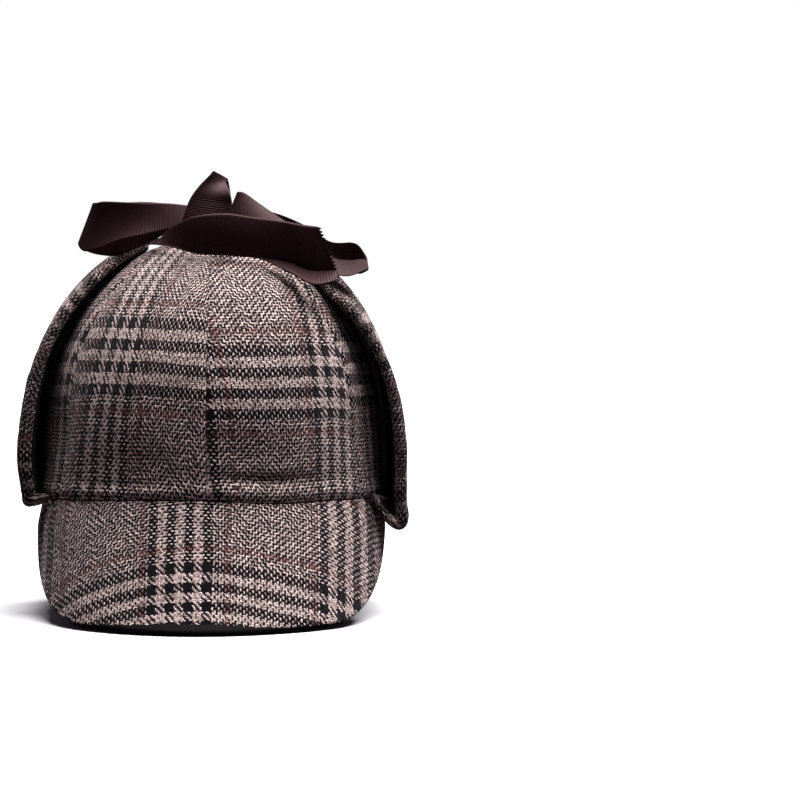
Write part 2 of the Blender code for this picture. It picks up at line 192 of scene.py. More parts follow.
FUZZ_RELIEF = 0.5
YARN_RELIEF = 0.0006


def math_node(operation):
    """A method that places this Math node."""
    return lambda *values: calc(operation, *values)


class Output:
    """What a node puts out. A sum or comparison with it places a Math node in its tree."""

    def __init__(self, tree, socket):
        self.tree, self.socket = tree, socket

    def __rsub__(self, other):
        return calc("SUBTRACT", other, self)

    __add__ = __radd__ = math_node("ADD")
    __sub__ = math_node("SUBTRACT")
    __mul__ = __rmul__ = math_node("MULTIPLY")
    __truediv__ = math_node("DIVIDE")
    __mod__ = math_node("FLOORED_MODULO")
    __pow__ = math_node("POWER")
    __lt__ = math_node("LESS_THAN")
    __gt__ = math_node("GREATER_THAN")
    __abs__ = math_node("ABSOLUTE")


def fill(socket, value):
    """Links an output to an input, or gives the input a plain value."""
    if isinstance(value, Output):
        value.tree.links.new(value.socket, socket)
    elif value is not None:
        socket.default_value = value


def place_node(tree, kind, *values, **settings):
    """Adds a node and fills its inputs in order."""
    node = tree.nodes.new(kind)
    for label, value in settings.items():
        setattr(node, label, value)
    for socket, value in zip(node.inputs, values):
        fill(socket, value)
    return node


def placed(tree, kind, *values, **settings):
    """The first output of a new node."""
    return Output(tree, place_node(tree, kind, *values, **settings).outputs[0])


def tree_of(values):
    return next(value.tree for value in values if isinstance(value, Output))


def calc(operation, *values):
    return placed(tree_of(values), "ShaderNodeMath", *values, operation=operation)


def vector_calc(operation, *values):
    return placed(tree_of(values), "ShaderNodeVectorMath", *values, operation=operation)


def parts_of(vector):
    node = place_node(vector.tree, "ShaderNodeSeparateXYZ", vector)
    return [Output(vector.tree, socket) for socket in node.outputs]


def vector_of(*values):
    return placed(tree_of(values), "ShaderNodeCombineXYZ", *values)


def noise_at(place, scale, detail, output=0):
    """Soft noise in space."""
    node = place_node(place.tree, "ShaderNodeTexNoise", place, None, scale, detail)
    return Output(place.tree, node.outputs[output])


def blend_colors(share, first, second, kind="MIX"):
    tree = tree_of((share, first, second))
    mix = place_node(tree, "ShaderNodeMix", data_type="RGBA", blend_type=kind)
    for number, value in ((0, share), (6, first), (7, second)):
        fill(mix.inputs[number], value)
    return Output(tree, mix.outputs[2])


SOCKET_OF = {float: "Float", int: "Int", tuple: "Color"}


def node_tree(name, kind, inputs, outputs):
    """A node group; gives the tree, what goes in and where it comes out.

    An input is written as its plain value, or as its kind of socket where it has none.
    """
    tree = bpy.data.node_groups.new(name, kind)
    for label, value in inputs.items():
        socket = value if isinstance(value, str) else SOCKET_OF[type(value)]
        item = tree.interface.new_socket(label, in_out="INPUT", socket_type="NodeSocket" + socket)
        if socket is not value:
            item.default_value = value
    for label, socket in outputs.items():
        tree.interface.new_socket(label, in_out="OUTPUT", socket_type="NodeSocket" + socket)
    start = tree.nodes.new("NodeGroupInput")
    end = tree.nodes.new("NodeGroupOutput")
    return tree, {socket.name: Output(tree, socket) for socket in start.outputs}, end.inputs


def place_group(tree, group, **values):
    """Places a node group with its named inputs filled, and gives its outputs by name."""
    node = tree.nodes.new("ShaderNodeGroup" if tree.type == "SHADER" else "GeometryNodeGroup")
    node.node_tree = group
    for label, value in values.items():
        fill(node.inputs[label.replace("_", " ")], value)
    return {socket.name: Output(tree, socket) for socket in node.outputs}


yarn_order, given, result = node_tree(
    "yarn order", "ShaderNodeTree", {"Yarn": 0.0, "First Red": 0.0, "Second Red": 0.0},
    {"Dark": "Float", "Red": "Float", "Banded": "Float"},
)
place = given["Yarn"] % REPEAT
in_bands = place < BANDED - 0.5
band_dark = place % BAND_PAIR < BAND_PAIR / 2 - 0.5
ground_dark = place % GROUND_PAIR < GROUND_PAIR / 2 - 0.5
reds = [calc("COMPARE", place, given[label], RED_REACH) for label in ("First Red", "Second Red")]
fill(result["Dark"], in_bands * band_dark + (1 - in_bands) * ground_dark)
fill(result["Red"], calc("MAXIMUM", *reds))
fill(result["Banded"], in_bands)

tweed_weave, given, result = node_tree(
    "tweed weave", "ShaderNodeTree",
    {"Threads": "Vector", "Light Yarn": LIGHT_YARN, "Dark Yarn": DARK_YARN,
     "Red Yarn": RED_YARN},
    {"Color": "Color", "Height": "Float"},
)


def wander(size, amount, detail):
    """A smooth wandering of the threads, in threads."""
    cloud = noise_at(given["Threads"], size, detail, output="Color")
    centred = vector_calc("SUBTRACT", cloud, (0.5, 0.5, 0.5))
    return vector_calc("SCALE", centred, None, None, amount)


threads = vector_calc("ADD", given["Threads"], wander(size=0.03, amount=2.2, detail=1))
threads = vector_calc("ADD", threads, wander(size=0.34, amount=2.1, detail=2))
across, up, _ = parts_of(threads)
warp, weft = calc("FLOOR", across), calc("FLOOR", up)
in_warp, in_weft = calc("FRACT", across), calc("FRACT", up)
warp_yarn, weft_yarn = (
    place_group(tweed_weave, yarn_order, Yarn=yarn, First_Red=reds[0], Second_Red=reds[1])
    for yarn, reds in ((warp, WARP_RED), (weft, WEFT_RED)))
# Outside the bands the twill turns back here and there, as in a herringbone.
turning = noise_at(vector_calc("MULTIPLY", given["Threads"], TURN_SCALE), 1.0, 1)
in_ground = 1 - calc("MAXIMUM", warp_yarn["Banded"], weft_yarn["Banded"])
turned = 1 - (turning > TURN_LEVEL) * in_ground * 2
step = (warp + weft * turned) % 4
on_top = step < 1.5
under = 1 - on_top


def pick(for_warp, for_weft):
    """The warp's value where the warp lies on top, and the weft's elsewhere."""
    return on_top * for_warp + under * for_weft


# Each yarn is round, and arches up between the places where it dips under the others.
side = pick(in_warp, in_weft) * 2 - 1
girth = calc("SQRT", calc("MAXIMUM", 1 - side ** 2, 0))
run = pick((step + in_weft) * 0.5, (step - 2 + in_warp) * 0.5)
height = girth * (0.5 + calc("SINE", run * math.pi) * 0.5)
yarn_name = vector_of(pick(warp, calc("FLOOR", across * TONE_RUN)),
                      pick(calc("FLOOR", up * TONE_RUN), weft), on_top)
chance = placed(tweed_weave, "ShaderNodeTexWhiteNoise", yarn_name, noise_dimensions="3D")
fuzz = noise_at(given["Threads"], FUZZ_SCALE, 3)
tone = calc("MAXIMUM", chance * TONE_BY_YARN + fuzz * TONE_BY_FUZZ - TONE_DROP, TONE_LEAST)
# Painted shade: darker between the yarns, lighter on their crests.
tone = tone * (GAP_SHADE + height * CREST_LIGHT)
color = blend_colors(pick(warp_yarn["Dark"], weft_yarn["Dark"]), given["Light Yarn"],
                     given["Dark Yarn"])
color = blend_colors(pick(warp_yarn["Red"], weft_yarn["Red"]) * RED_SHARE, color,
                     given["Red Yarn"])
fill(result["Color"], blend_colors(1.0, color, vector_of(tone, tone, tone), "MULTIPLY"))
fill(result["Height"], height + fuzz * FUZZ_RELIEF)


def new_material(name):
    material = bpy.data.materials.new(name)
    material.use_nodes = True
    return material, material.node_tree, material.node_tree.nodes["Principled BSDF"]


def finish_with(shader, **values):
    """Fills a shader's inputs by name."""
    for label, value in values.items():
        fill(shader.inputs[label.replace("_", " ")], value)


def relief_of(height, strength, depth):
    """The normals of a surface with this height."""
    node = place_node(height.tree, "ShaderNodeBump", strength, depth)
    fill(node.inputs["Height"], height)
    return Output(height.tree, node.outputs[0])


def own_place(tree):
    return Output(tree, place_node(tree, "ShaderNodeTexCoord").outputs["Object"])


tweed, tree, shader = new_material("tweed")
# On the flaps' round edges and roots the light yarn is darkened: painted shade, where little light
# reaches.
painted_rim_shade = Output(tree, place_node(tree, "ShaderNodeAttribute",
                                 attribute_name="painted_rim_shade").outputs["Fac"])
weave = place_group(tree, tweed_weave, Threads=placed(tree, "ShaderNodeUVMap", uv_map="threads"),
                    Light_Yarn=blend_colors(painted_rim_shade, LIGHT_YARN, PAINTED_RIM_SHADE_YARN))
finish_with(shader, Base_Color=weave["Color"], Roughness=0.92, Specular_IOR_Level=0.10,
            Normal=relief_of(weave["Height"], strength=0.7, depth=YARN_RELIEF),
            Sheen_Weight=0.20, Sheen_Roughness=0.25, Sheen_Tint=(0.95, 0.86, 0.90, 1))

# The lining: plain black cotton. Where it shows, on the flaps' inner faces and round the peaks'
# lower edge, its black is painted shade.
LINING_DARK = (0.003, 0.002, 0.0025, 1)
LINING_LIGHT = (0.012, 0.009, 0.010, 1)
LINING_GRAIN = 900

black_lining_and_shade, tree, shader = new_material("dark_lining")
speckle = noise_at(own_place(tree), LINING_GRAIN, 2)
finish_with(shader, Base_Color=blend_colors(speckle, LINING_DARK, LINING_LIGHT), Roughness=0.8,
            Specular_IOR_Level=0.15)

# The wall of a cloth piece: both faces of the sheet are pushed apart and meet again in a round
# edge. Rib Height and Rib Pitch raise cross ribs along the piece, as on grosgrain.
RIB_MIDDLE = 0.6            # of a rib's height is above the plain wall, and the rest below
WELD_DISTANCE = 0.000002

cloth_wall, given, result = node_tree(
    "cloth wall", "GeometryNodeTree",
    {"Geometry": "Geometry", "Wall": 0.002, "Shift": 0.0, "Edge Radius": 0.001,
     "Rib Height": 0.0, "Rib Pitch": 1.0, "Turned In": 0.0, "Face": "Material",
     "Back": "Material"},
    {"Geometry": "Geometry"},
)


def stored(tree, label, kind="FLOAT"):
    """An attribute that the sheet carries."""
    return placed(tree, "GeometryNodeInputNamedAttribute", label, data_type=kind)


def keep(geometry, label, value, kind="FLOAT", domain="POINT"):
    return placed(geometry.tree, "GeometryNodeStoreNamedAttribute", geometry, True, label, value,
                  data_type=kind, domain=domain)


def clad(geometry, where, material):
    return placed(geometry.tree, "GeometryNodeSetMaterial", geometry, where, material)


inset = calc("MINIMUM", stored(cloth_wall, "edge") / given["Edge Radius"], 1)
swell = calc("SQRT", calc("MAXIMUM", 1 - (1 - inset) ** 2, 0))
rib = abs(calc("SINE", stored(cloth_wall, "along") * math.pi / given["Rib Pitch"]))
half = (given["Wall"] * 0.5 * stored(cloth_wall, "wall")
        + (rib - RIB_MIDDLE) * given["Rib Height"]) * swell
outward = placed(cloth_wall, "GeometryNodeInputNormal")
both = place_node(cloth_wall, "GeometryNodeJoinGeometry")
for sign in (1, -1):
    lift = half * sign + given["Wall"] * given["Shift"]
    skin = placed(cloth_wall, "GeometryNodeSetPosition", given["Geometry"], True, None,
                  vector_calc("SCALE", outward, None, None, lift))
    skin = clad(skin, True, given["Face"])
    if sign < 0:
        skin = placed(cloth_wall, "GeometryNodeFlipFaces", skin)
        # Round the edge the back carries on the face's threads, away from the edge's thread.
        warp, weft, _ = parts_of(stored(cloth_wall, "threads", "FLOAT_VECTOR"))
        carried = vector_of(stored(cloth_wall, "edge thread") * 2 - warp, weft)
        skin = keep(skin, "threads", carried, "FLOAT2", "CORNER")
        skin = clad(skin, stored(cloth_wall, "edge") > given["Turned In"], given["Back"])
    fill(both.inputs[0], skin)
merged = place_node(cloth_wall, "GeometryNodeMergeByDistance",
                    Output(cloth_wall, both.outputs[0]), True)
fill(merged.inputs["Distance"], WELD_DISTANCE)
smooth = placed(cloth_wall, "GeometryNodeSetShadeSmooth",
                Output(cloth_wall, merged.outputs[0]), True, True)
fill(result["Geometry"], placed(cloth_wall, "GeometryNodeRealizeInstances", smooth))


def graded(count):
    """Shares from 0 to 1, closer together at both ends."""
    return 0.5 - 0.5 * np.cos(np.linspace(0, math.pi, count))


def from_ends(steps, axis):
    """How far each point of a grid is from the nearer end of its row or column."""
    shape = list(steps.shape)
    shape[axis] = 1
    first = np.concatenate([np.zeros(shape), np.cumsum(steps, axis=axis)], axis=axis)
    total = np.take(first, [-1], axis=axis)
    return np.minimum(first, total - first)


def new_sheet(name, points, threads, wall=None, along=None, edge_thread=None, painted_rim_shade=None,
              end_share=1.0):
    """A sheet from a grid of points, with its threads as UV and its distance to the edge.

    end_share above 1 makes the round edges at its first and last row that much tighter.
    """
    rows, columns = points.shape[:2]
    number = np.arange(rows * columns).reshape(rows, columns)
    quads = np.stack([number[:-1, :-1], number[:-1, 1:], number[1:, 1:], number[1:, :-1]],
                     axis=-1).reshape(-1, 4)
    mesh = bpy.data.meshes.new(name)
    mesh.from_pydata(points.reshape(-1, 3).tolist(), [], quads.tolist())
    uv = mesh.uv_layers.new(name="threads")
    uv.data.foreach_set("uv", threads.reshape(-1, 2)[quads.ravel()].astype(np.float32).ravel())
    from_row_ends = from_ends(np.linalg.norm(np.diff(points, axis=0), axis=2), 0)
    edge = np.minimum(from_row_ends * end_share,
                      from_ends(np.linalg.norm(np.diff(points, axis=1), axis=2), 1))
    for label, value in (("edge", edge), ("wall", wall), ("along", along),
                         ("edge thread", edge_thread), ("painted_rim_shade", painted_rim_shade)):
        if value is None:
            value = np.ones((rows, columns)) if label == "wall" else np.zeros((rows, columns))
        mesh.attributes.new(label, "FLOAT", "POINT").data.foreach_set(
            "value", value.astype(np.float32).ravel())
    piece = bpy.data.objects.new(name, mesh)
    bpy.context.scene.collection.objects.link(piece)
    return piece


def make_real(piece, tree, **values):
    """Runs a geometry tree on a piece and keeps the result as its plain mesh."""
    modifier = piece.modifiers.new(tree.name, "NODES")
    modifier.node_group = tree
    for item in tree.interface.items_tree:
        label = item.name.replace(" ", "_")
        if item.item_type == "SOCKET" and item.in_out == "INPUT" and label in values:
            modifier[item.identifier] = values[label]
    ready = piece.evaluated_get(bpy.context.evaluated_depsgraph_get())
    mesh = bpy.data.meshes.new_from_object(ready)
    piece.modifiers.remove(modifier)
    old = piece.data
    piece.data = mesh
    bpy.data.meshes.remove(old)
    mesh.name = piece.name


def crown_point(azimuth, turn):
    """Points of the crown's outer face; turn is 0 at the rim and pi / 2 at the top."""
    spread = np.cos(turn)
    height = np.sin(turn) ** (2 / CROWN_FULLNESS)
    points = np.stack([
        RIM_HALF_WIDTH * spread * np.sin(azimuth),
        -RIM_HALF_LENGTH * spread * np.cos(azimuth),
        RIM_HEIGHT + CROWN_HEIGHT * height - (1 - height) * (
            RIM_DIP * np.sin(azimuth) ** 2
            + SEAM_SAG * np.exp(-((azimuth - SAG_PLACE) / SAG_SPREAD) ** 2)),
    ], axis=-1)
    inward = np.stack([-np.sin(azimuth) * spread, np.cos(azimuth) * spread, -height], axis=-1)
    inward /= np.linalg.norm(inward, axis=-1, keepdims=True)
    sink = np.zeros_like(azimuth)
    for where, level, depth, spread_around, spread_up in DENTS:
        around = (azimuth - math.radians(where) + math.pi) % (2 * math.pi) - math.pi
        around = around / math.radians(spread_around)
        up = (CROWN_HEIGHT * height - level) / spread_up
        sink += depth * np.exp(-around ** 2 - up ** 2)
    return points + inward * sink[..., None]


def bent(u, low, high):
    """u squared between low and high, and straight on beyond them."""
    held = np.clip(u, low, high)
    return held * held + 2 * held * (u - held)


# Where the plaid lies on the front gores, from millimetres u across and v up a gore.
FRONT_PLAID = {
    "left": ((2.488, 0.1103, -0.0003, 0.000386, 0.000745), (-28, 8),
             (7.682, -0.0032, -0.0881, -0.000046)),
    "right": ((-1.385, 0.1303, -0.0048, -0.000169, -0.000489), (10, 50),
              (7.221, 0.0007, -0.0981, -0.00006)),
}
FRONT_START = (3, 39)       # the first warp and weft yarn
PLAIN_START = (60, 51)
WARP_PITCH = 0.77           # millimetres from yarn to yarn
WEFT_PITCH = 0.9


def yarns_at(u, v, plaid):
    """The warp and weft yarn at a place on a gore; the hidden gores are cut straight."""
    if plaid is None:
        return PLAIN_START[0] + u / WARP_PITCH, v / WEFT_PITCH - PLAIN_START[1]
    column, (low, high), band = plaid
    column = (column[0] + column[1] * u + column[2] * v + column[3] * u * v
              + column[4] * bent(u, low, high))
    band = band[0] + band[1] * u + band[2] * v + band[3] * u * u
    return FRONT_START[0] + BAND_PAIR * column, FRONT_START[1] - BAND_PAIR * band


def gore(name, seam_a, seam_b, plaid=None):
    """One gore between two seams; each seam is its azimuth at the rim and at the top."""
    up = graded(GORE_ROWS)[:, None] * np.ones(GORE_COLUMNS)
    across = 2 * graded(GORE_COLUMNS)[None, :] - 1 + 0 * up
    turn = math.acos(CROWN_HOLE) * up ** ROW_CROWDING
    spread = np.cos(turn)
    overlap = SEAM_OVERLAP / (RIM_HALF_WIDTH * spread)
    low = seam_a[0] + (seam_a[1] - seam_a[0]) * up - overlap
    high = seam_b[0] + (seam_b[1] - seam_b[0]) * up + overlap
    azimuth = low + (high - low) * (across + 1) / 2
    points = crown_point(azimuth, turn)
    middle = crown_point((low + high)[:, 0] / 2, turn[:, 0])
    v = np.concatenate([[0], np.cumsum(np.linalg.norm(np.diff(middle, axis=0), axis=1))])
    v = v[:, None] * np.ones(GORE_COLUMNS)
    steps = np.linalg.norm(np.diff(points, axis=1), axis=2)
    u = np.concatenate([np.zeros((GORE_ROWS, 1)), np.cumsum(steps, axis=1)], axis=1)
    u -= u[:, -1:] / 2
    threads = np.stack(yarns_at(u * 1000, v * 1000, plaid), axis=-1)
    outward = np.stack([np.sin(azimuth) * spread, -np.cos(azimuth) * spread, np.sin(turn)],
                       axis=-1)
    outward /= np.linalg.norm(outward, axis=-1, keepdims=True)
    from_seam = from_ends(steps, 1)
    lift = -SEAM_DIP * np.exp(-(from_seam / SEAM_DIP_WIDTH) ** 2)
    lift += PUCKER_DEPTH * np.sin(v * 2 * math.pi / PUCKER_LENGTH) * np.exp(
        -from_seam / PUCKER_REACH)
    lift += HEM_ROLL * np.exp(-((v - HEM_ROLL_PLACE) / HEM_ROLL_WIDTH) ** 2)
    wave = [noise.noise(Vector(point) * WAVE_SCALES[0])
            + 0.5 * noise.noise(Vector(point) * WAVE_SCALES[1]) for point in points.reshape(-1, 3)]
    lift += WAVE_DEPTH * np.array(wave).reshape(lift.shape) * np.minimum(1, v / WAVE_START)
    lift *= np.minimum(1, spread * 3)
    piece = new_sheet(f"{name}_cloth", points + outward * lift[..., None], threads,
                      end_share=CROWN_RIM_TIGHTER)
    make_real(piece, cloth_wall, Wall=CROWN_WALL, Shift=-0.5, Edge_Radius=CROWN_EDGE_RADIUS,
              Face=tweed, Back=black_lining_and_shade)
    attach(piece, "root")
    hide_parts(name)


front_seam = (0.0, 0.0)
front_side = (SIDE_SEAM_AT_RIM, SIDE_SEAM_AT_TOP)
back_side = (math.pi - SIDE_SEAM_AT_RIM, math.pi - SIDE_SEAM_AT_TOP)
back_seam = (math.pi, math.pi)


def other_side(seam):
    return tuple(-azimuth for azimuth in seam)


gore("crown_panel_front_right", front_seam, front_side, FRONT_PLAID["right"])
gore("crown_panel_side_right", front_side, back_side)
gore("crown_panel_back_right", back_side, back_seam)
gore("crown_panel_front_left", other_side(front_side), front_seam, FRONT_PLAID["left"])
gore("crown_panel_side_left", other_side(back_side), other_side(front_side))
gore("crown_panel_back_left", other_side(back_seam), other_side(back_side))


# Peaks: a stiff board between two layers of tweed, bent down from the crown's lower edge and
# sewn to it. Flat, each is half an ellipse; a band of black lining round its lower edge is
# painted shade under the rounded edge.
PEAK_FALL = math.radians(60)
PEAK_REACH = 0.1250         # from the head's middle to the edge, on the flat board
PEAK_END = math.radians(81)
PEAK_LAST = 0.985           # the board stops at that share of PEAK_END
PEAK_PUFF = 0.0022          # its sides stand out that much from this far down
PEAK_PUFF_RUN = 0.015
PEAK_SIDE_LIFT = 0.0030
PEAK_WALL = 0.0045
PEAK_WALL_BELOW = 0.28      # the share of the wall that hangs below the sheet's edge
PEAK_ROOT_TIGHTER = 2.2     # the edge at the crown is rounded that much more tightly
PEAK_OVERLAP = 0.0003       # it reaches that far up into the crown's wall
SHADE_BAND_REACH = 0.1160       # where the black band of painted shade starts, measured as PEAK_REACH is
SHADE_BAND_END = math.radians(94)
TABLE_CLEARANCE = 0.0002
# The plaid on the flat board: its width as a sum of sines of the azimuth, and its yarns.
PEAK_ARC = (0.06605, 0.01069, 0.00039)
PEAK_WARP_START = 37.95
PEAK_WARP_PITCH = 0.000714
PEAK_WEFT_START = 39
PEAK_WEFT_PLACE = 0.0879
PEAK_WEFT_PITCH = 0.000809

peak_sheet, given, result = node_tree(
    "peak sheet", "GeometryNodeTree",
    {"Geometry": "Geometry", "Half Width": 0.1, "Half Length": 0.1, "Rim Height": 0.06,
     "Rim Dip": 0.0, "Seam Sag": 0.0, "Side Lift": 0.0, "Fall": 1.0, "Reach": 0.12,
     "End": 1.4, "Puff": 0.0, "Wall": 0.004, "Facing Reach": 0.12, "Facing End": 1.4,
     "Columns": 160, "Rows": 60, "Direction": 1.0, "Face": "Material",
     "Facing": "Material"},
    {"Geometry": "Geometry"},
)
grid = placed(peak_sheet, "GeometryNodeMeshGrid", 2.0, 2.0, given["Columns"], given["Rows"])
x, y, _ = parts_of(placed(peak_sheet, "GeometryNodeInputPosition"))
azimuth = calc("SINE", x * (math.pi / 2)) * given["End"] * PEAK_LAST
share = 0.5 - calc("COSINE", (y * 0.5 + 0.5) * math.pi) * 0.5
sine, cosine = calc("SINE", azimuth), calc("COSINE", azimuth)
fall_in, fall_down = calc("COSINE", given["Fall"]), calc("SINE", given["Fall"])
sag = calc("EXPONENT", ((azimuth - SAG_PLACE) / SAG_SPREAD) ** 2 * -1)
rim_z = given["Rim Height"] - given["Rim Dip"] * sine ** 2 + PEAK_OVERLAP
rim_z = rim_z - given["Seam Sag"] * sag
depth_at = given["Half Length"] * (cosine * fall_in)


def outline(reach, end):
    """How far down the board an edge lies, from the crown."""
    flat = calc("SQRT", calc("MAXIMUM", 1 - (abs(azimuth) / given[end]) ** 2, 0))
    return given[reach] * flat - depth_at


to_table = (rim_z - given["Wall"] * PEAK_WALL_BELOW) / fall_down
to_table = to_table - given["Side Lift"] * sine ** 2
length = calc("MINIMUM", outline("Reach", "End"), to_table)
run = length * share
puff = given["Puff"] * sine ** 2 * calc("MINIMUM", run / PEAK_PUFF_RUN, 1)
point = vector_of(
    (given["Half Width"] + puff) * sine * given["Direction"],
    (given["Half Length"] * cosine * -1 - run * fall_in) * given["Direction"],
    rim_z - run * fall_down,
)
from_corner = given["Half Length"] * (given["End"] * PEAK_LAST - abs(azimuth))
edge = calc("MINIMUM", calc("MINIMUM", run * PEAK_ROOT_TIGHTER, length - run), from_corner)
arc = azimuth * PEAK_ARC[0] + calc("SINE", azimuth * 2) * PEAK_ARC[1]
arc = arc - calc("SINE", azimuth * 4) * PEAK_ARC[2]
threads = vector_of(
    arc / PEAK_WARP_PITCH + PEAK_WARP_START,
    (PEAK_WEFT_PLACE - (run + depth_at)) / PEAK_WEFT_PITCH + PEAK_WEFT_START,
)
sheet = keep(grid, "edge", edge)
sheet = keep(sheet, "wall", 1.0)
# The band round the lower edge is dressed in the black lining: painted shade under the edge.
sheet = keep(sheet, "faced", run > outline("Facing Reach", "Facing End"))
sheet = keep(sheet, "threads", threads, "FLOAT2", "CORNER")
bent_sheet = placed(peak_sheet, "GeometryNodeSetPosition", sheet, True, point)
bent_sheet = placed(peak_sheet, "GeometryNodeFlipFaces", bent_sheet)
walled = place_group(peak_sheet, cloth_wall, Geometry=bent_sheet, Wall=given["Wall"], Shift=-0.5,
                     Edge_Radius=PEAK_WALL / 2, Face=given["Face"], Back=given["Facing"])
dressed = clad(walled["Geometry"], stored(peak_sheet, "faced") > 0.5, given["Facing"])
fill(result["Geometry"], placed(peak_sheet, "GeometryNodeRealizeInstances", dressed))

for name, direction, seam_sag in (("front_peak", 1.0, SEAM_SAG), ("back_peak", -1.0, 0.0)):
    piece = bpy.data.objects.new(f"{name}_cloth", bpy.data.meshes.new(name))
    bpy.context.scene.collection.objects.link(piece)
    make_real(piece, peak_sheet, Half_Width=RIM_HALF_WIDTH, Half_Length=RIM_HALF_LENGTH,
              Rim_Height=RIM_HEIGHT, Rim_Dip=RIM_DIP, Seam_Sag=seam_sag,
              Side_Lift=PEAK_SIDE_LIFT, Fall=PEAK_FALL, Reach=PEAK_REACH, End=PEAK_END,
              Puff=PEAK_PUFF, Wall=PEAK_WALL, Facing_Reach=SHADE_BAND_REACH,
              Facing_End=SHADE_BAND_END, Columns=180, Rows=64, Direction=direction,
              Face=tweed, Facing=black_lining_and_shade)
    heights = np.empty(len(piece.data.vertices) * 3, dtype=np.float32)
    piece.data.vertices.foreach_get("co", heights)
    heights[2::3] = np.maximum(heights[2::3], TABLE_CLEARANCE)
    piece.data.vertices.foreach_set("co", heights)
    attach(piece, "root")
    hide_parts(name)


# Ear flaps: tweed outside, black lining inside and padding between, sewn along the crown's
# lower edge, folded there and tied up against its sides. The tweed is turned in round the edge.
# The lining's black is painted shade in the gap between flap and crown.
# A row holds the length up the crown's side, the gap to the crown, half the flap's width, how
# far its front and back edges lean in, and its thickness.
FLAPS = {
    "left": (
        (0.000, 0.0010, 0.051, 0.0028, 0.0000, 0.0076),
        (0.012, 0.0012, 0.0525, 0.0010, -0.0005, 0.0080),
        (0.024, 0.0012, 0.053, 0.0006, -0.0005, 0.0082),
        (0.048, 0.0012, 0.052, 0.0016, 0.0010, 0.0080),
        (0.068, 0.0016, 0.050, 0.0026, 0.0030, 0.0070),
        (0.086, 0.0018, 0.046, 0.0034, 0.0052, 0.0060),
        (0.104, 0.0018, 0.040, 0.0044, 0.0062, 0.0054),
        (0.122, 0.0018, 0.031, 0.0038, 0.0054, 0.0050),
        (0.135, 0.0016, 0.021, 0.0028, 0.0034, 0.0048),
        (0.141, 0.0012, 0.012, 0.0012, 0.0012, 0.0046),
    ),
    "right": (
        (0.000, 0.0020, 0.052, -0.0026, 0.0030, 0.0062),
        (0.024, 0.0020, 0.053, -0.0030, 0.0036, 0.0064),
        (0.048, 0.0022, 0.052, -0.0018, 0.0044, 0.0060),
        (0.066, 0.0022, 0.050, 0.0006, 0.0048, 0.0056),
        (0.078, 0.0022, 0.049, 0.0022, 0.0052, 0.0052),
        (0.092, 0.0020, 0.047, 0.0048, 0.0056, 0.0050),
        (0.106, 0.0020, 0.043, 0.0078, 0.0058, 0.0048),
        (0.117, 0.0018, 0.034, 0.0056, 0.0048, 0.0048),
        (0.126, 0.0014, 0.020, 0.0024, 0.0026, 0.0046),
    ),
}
FLAP_SIDE = {"left": -1, "right": 1}
FLAP_FOLD_DROP = {"left": 0.0012, "right": 0.0112}
FLAP_ROOT_REACH = 0.0885
FLAP_ROOT_DROP = 0.0006
FLAP_ROOT_HALF_WIDTH = 0.047
FLAP_ROOT_WRAP = 0.0092
FLAP_ROOT_WALL = 0.0040
# The fold at the root, the lowest point and the outer side: how far it swells out, its share of
# the drop, how much narrower it is, how much more its edges lean in, and its thickness.
FLAP_FOLD = (
    (0.0010, 0.70, 0.002, 0.0060, 0.0050, 0.0048),
    (0.0018, 1.00, 0.0, 0.0014, 0.0014, 0.0058),
    (0.0008, 0.62, 0.0, 0.0, 0.0, 0.0064),
)
FLAP_ROOT_RISE = {"left": 0.0006, "right": 0.0040}
FLAP_ROOT_ROWS = 3.0
FLAP_CORNER_RISE = {"left": 0.0030, "right": 0.0}   # its lower corners are that much rounder
FLAP_CORNER_HEIGHT = 0.02
FLAP_DIP_HEIGHT = 0.05      # it follows the rim's dip up to there
FLAP_EDGE_RADIUS = 0.0036
FLAP_TURNED_IN = {"left": 0.0014, "right": 0.0026}  # the tweed's turn over the dark lining
FLAP_START = (21, 8)        # the warp yarn in its middle and the weft yarn at its root
FLAP_WEFT_PITCH = 0.83
FLAP_LUMPS = 0.11           # the padding's lumps, as a share of the thickness
LUMP_SCALE = 150
FLECK_SCALE = 430
FLAP_ROWS = 14
FLAP_STEPS = 7
FLAP_COLUMNS = 60
PROFILE_STEPS = 800


def smooth_rows(rows, steps):
    """The rows of a table with more rows between them, on a curve through all of them."""
    rows = [np.array(row, dtype=float) for row in rows]
    result = []
    for number in range(len(rows) - 1):
        a, b = rows[max(number - 1, 0)], rows[number]
        c, d = rows[number + 1], rows[min(number + 2, len(rows) - 1)]
        for step in range(steps):
            t = step / steps
            result.append(0.5 * (2 * b + (c - a) * t + (2 * a - 5 * b + 4 * c - d) * t * t
                                 + (3 * b - a - 3 * c + d) * t ** 3))
    result.append(rows[-1])
    return np.array(result)


def side_profile(length):
    """The crown's side, seen from the front: place and outward direction at a length."""
    if length <= 0:
        return np.array((RIM_HALF_WIDTH, length)), np.array((1.0, 0.0))
    turn = math.pi / 2 * (np.arange(0, PROFILE_STEPS + 1) / PROFILE_STEPS) ** 1.45
    line = np.stack([RIM_HALF_WIDTH * np.cos(turn),
                     CROWN_HEIGHT * np.sin(turn) ** (2 / CROWN_FULLNESS)], axis=1)
    walked = np.concatenate([[0], np.cumsum(np.linalg.norm(np.diff(line, axis=0), axis=1))])
    number = min(int(np.searchsorted(walked, length)), PROFILE_STEPS)
    along = line[number] - line[number - 1]
    along /= np.linalg.norm(along)
    return line[number], np.array((along[1], -along[0]))


